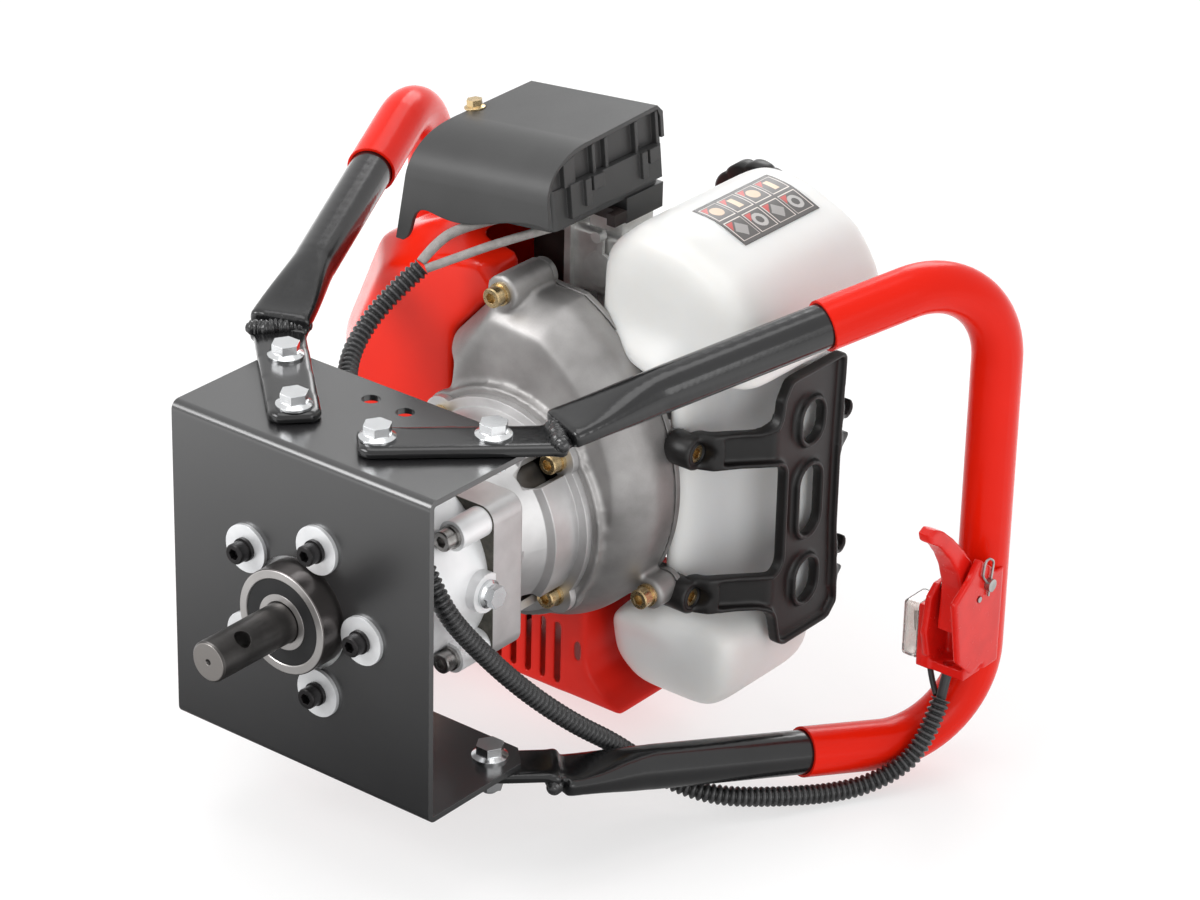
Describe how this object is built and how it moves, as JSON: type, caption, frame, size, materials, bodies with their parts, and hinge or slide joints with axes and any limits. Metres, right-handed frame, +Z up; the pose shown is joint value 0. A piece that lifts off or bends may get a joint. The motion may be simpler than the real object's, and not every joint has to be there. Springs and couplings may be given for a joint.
{
  "type": "power earth auger head",
  "caption": "Petrol earth auger power head: black front bracket with output shaft, gearbox, red engine cowl, white side tank and looped tube handles.",
  "frame": {"origin": "on the output shaft's axis, in the plane of its bearing's outer end face", "axes": "-Y along the output shaft towards the auger, +X to the fuel tank and throttle side, +Z up in the lying pose of the picture"},
  "size_m": [0.3832, 0.3733, 0.3166],
  "materials": {
    "black_paint": "satin",
    "shaft_steel": "satin",
    "bearing_steel": "polished",
    "black_screw_steel": "satin",
    "bright_zinc": "satin",
    "yellow_zinc": "satin",
    "bright_castings": "satin",
    "grey_castings": "matte",
    "clutch_iron": "matte",
    "gasket_paper": "matte",
    "seal_rubber": "matte",
    "plug_ceramic": "gloss",
    "coil_laminations": "matte",
    "red_cowl_plastic": "gloss",
    "red_guard_paint": "satin",
    "muffler_steel": "matte",
    "intake_plastic": "matte",
    "carburettor_casting": "matte",
    "black_moulding": "satin",
    "filter_foam": "matte",
    "tank_plastic": "satin",
    "grip_vinyl": "gloss",
    "red_trigger_plastic": "gloss",
    "switch_white": "gloss",
    "clear_boot": "gloss",
    "spring_steel": "satin",
    "wire_sleeving": "matte"
  },
  "bodies": {
    "frame": {"frame_bracket": "black_paint", "output_bearing_outer": "bearing_steel", "output_bearing_seals": "seal_rubber", "face_screws": "black_screw_steel", "face_washers": "bright_zinc", "gearbox_front_case": "bright_castings", "gearbox_gasket": "gasket_paper", "gearbox_rear_housing": "bright_castings", "case_screws": "black_screw_steel", "oil_plug": "yellow_zinc", "layshaft": "shaft_steel", "inner_bearings": "bearing_steel", "fan_housing": "grey_castings", "housing_screws": "yellow_zinc", "crankcase": "grey_castings", "cylinder": "grey_castings", "spark_plug": "plug_ceramic", "spark_plug_cap": "seal_rubber", "ignition_coil": "coil_laminations", "cylinder_shroud": "red_cowl_plastic", "muffler": "muffler_steel", "muffler_guard": "red_guard_paint", "intake_insulator": "intake_plastic", "carburettor": "carburettor_casting", "air_filter_base": "black_moulding", "air_filter_element": "filter_foam", "air_filter_cover": "black_moulding", "filter_cover_nut": "yellow_zinc", "fuel_tank": "tank_plastic", "tank_guard": "black_moulding", "recoil_housing": "grey_castings", "handle_right": "black_paint", "handle_left": "black_paint", "grip_sleeves": "grip_vinyl", "handle_fasteners": "bright_zinc", "throttle_housing": "red_trigger_plastic", "trigger_spring_clip": "spring_steel", "switch_boot": "clear_boot", "throttle_conduit": "seal_rubber", "control_wires": "wire_sleeving"},
    "output": {"output_shaft": "shaft_steel", "output_bearing_inner": "bearing_steel"},
    "ball_cage": {"output_bearing_balls": "bearing_steel"},
    "cluster_3": {"gear_cluster_3": "shaft_steel"},
    "cluster_2": {"gear_cluster_2": "shaft_steel"},
    "cluster_1": {"gear_cluster_1": "shaft_steel"},
    "input": {"input_pinion_shaft": "shaft_steel", "clutch_drum": "clutch_iron"},
    "crank": {"crankshaft": "shaft_steel", "flywheel": "clutch_iron", "clutch_shoe_screws": "black_screw_steel"},
    "shoe_1": {"clutch_shoe_1": "clutch_iron"},
    "shoe_2": {"clutch_shoe_2": "clutch_iron"},
    "trigger": {"throttle_trigger": "red_trigger_plastic"},
    "carb_lever": {"throttle_lever": "carburettor_casting"},
    "choke": {"choke_lever": "intake_plastic"},
    "switch": {"stop_switch": "switch_white"},
    "cap": {"fuel_cap": "intake_plastic"},
    "pulley": {"recoil_pulley": "intake_plastic"},
    "pull_handle": {"recoil_handle": "black_moulding"}
  },
  "joints": [
    {"name": "output_spin", "type": "hinge", "parent": "frame", "child": "output", "pos_m": [0, 0.01, 0], "axis": [0, 1, 0], "continuous": true},
    {"name": "ball_cage_spin", "type": "hinge", "parent": "frame", "child": "ball_cage", "pos_m": [0, 0.01, 0], "axis": [0, 1, 0], "continuous": true},
    {"name": "cluster_3_spin", "type": "hinge", "parent": "frame", "child": "cluster_3", "pos_m": [0, 0.04, -0.0258], "axis": [0, 1, 0], "continuous": true},
    {"name": "cluster_2_spin", "type": "hinge", "parent": "frame", "child": "cluster_2", "pos_m": [0, 0.05, 0], "axis": [0, 1, 0], "continuous": true},
    {"name": "cluster_1_spin", "type": "hinge", "parent": "frame", "child": "cluster_1", "pos_m": [0, 0.06, -0.0258], "axis": [0, 1, 0], "continuous": true},
    {"name": "input_spin", "type": "hinge", "parent": "frame", "child": "input", "pos_m": [0, 0.1, 0], "axis": [0, 1, 0], "continuous": true},
    {"name": "crank_spin", "type": "hinge", "parent": "frame", "child": "crank", "pos_m": [0, 0.2, 0], "axis": [0, 1, 0], "continuous": true},
    {"name": "shoe_1_swing", "type": "hinge", "parent": "crank", "child": "shoe_1", "pos_m": [0.01271, 0.145, 0.02607], "axis": [0, -1, 0], "range_deg": [0, 1.5], "stiffness_Nm_per_rad": 0.5},
    {"name": "shoe_2_swing", "type": "hinge", "parent": "crank", "child": "shoe_2", "pos_m": [-0.01271, 0.145, -0.02607], "axis": [0, -1, 0], "range_deg": [0, 1.5], "stiffness_Nm_per_rad": 0.5},
    {"name": "trigger_pull", "type": "hinge", "parent": "frame", "child": "trigger", "pos_m": [0.1771, 0.29, -0.04], "axis": [-1, 0, 0], "range_deg": [0, 20], "stiffness_Nm_per_rad": 0.15},
    {"name": "throttle_lever_turn", "type": "hinge", "parent": "frame", "child": "carb_lever", "pos_m": [0.002, 0.227, 0.1], "axis": [0, 1, 0], "range_deg": [0, 36]},
    {"name": "choke_turn", "type": "hinge", "parent": "frame", "child": "choke", "pos_m": [-0.004, 0.23, 0.132], "axis": [0, 1, 0], "range_deg": [0, 25]},
    {"name": "stop_switch_rock", "type": "hinge", "parent": "frame", "child": "switch", "pos_m": [0.1616, 0.2927, -0.0675], "axis": [0, 1, 0], "range_deg": [0, 14]},
    {"name": "fuel_cap_turn", "type": "hinge", "parent": "frame", "child": "cap", "pos_m": [0.03, 0.311, 0.11], "axis": [0, 1, 0], "range_deg": [0, 360]},
    {"name": "recoil_turn", "type": "hinge", "parent": "frame", "child": "pulley", "pos_m": [0, 0.286, 0], "axis": [0, 1, 0], "range_deg": [0, 1220], "stiffness_Nm_per_rad": 0.002},
    {"name": "recoil_pull", "type": "slide", "parent": "frame", "child": "pull_handle", "axis": [0, 0, 1], "range_m": [0, 0.6]}
  ],
  "couplings": [
    {"joint": "ball_cage_spin", "follows": "output_spin", "ratio": 0.372},
    {"joint": "cluster_3_spin", "follows": "output_spin", "ratio": -2.3077},
    {"joint": "cluster_2_spin", "follows": "output_spin", "ratio": 5.3254},
    {"joint": "cluster_1_spin", "follows": "output_spin", "ratio": -12.289},
    {"joint": "input_spin", "follows": "output_spin", "ratio": 28.36},
    {"joint": "throttle_lever_turn", "follows": "trigger_pull", "ratio": 1.8},
    {"joint": "recoil_pull", "follows": "recoil_turn", "m_per_rad": 0.028}
  ]
}
